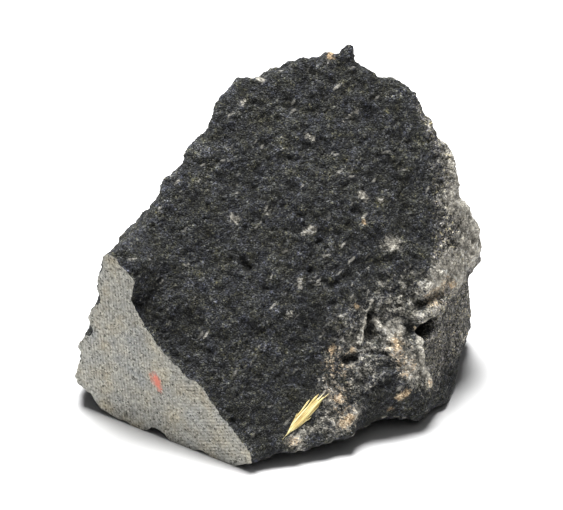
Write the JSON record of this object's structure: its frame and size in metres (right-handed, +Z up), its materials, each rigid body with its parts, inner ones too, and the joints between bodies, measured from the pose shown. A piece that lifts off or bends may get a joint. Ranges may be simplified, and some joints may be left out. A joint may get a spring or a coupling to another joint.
{
  "type": "basalt rock",
  "caption": "Hand specimen of dark fine-grained basalt: a leaning broken front face, a flat sawn end, a weathered shoulder, and a flat foot to rest on.",
  "frame": {"origin": "under the middle of the block, in the plane of its foot", "axes": "+X to the right along the block's longest extent, +Y to the back, away from the leaning front face, +Z up, the block's shortest extent"},
  "size_m": [0.074, 0.0628, 0.0587],
  "materials": {
    "basalt": "rough broken grain, matt",
    "straw": "dry straw fibre, matt"
  },
  "bodies": {
    "root": {"basalt_rock": "basalt", "straw_chip": "straw"}
  },
  "joints": []
}
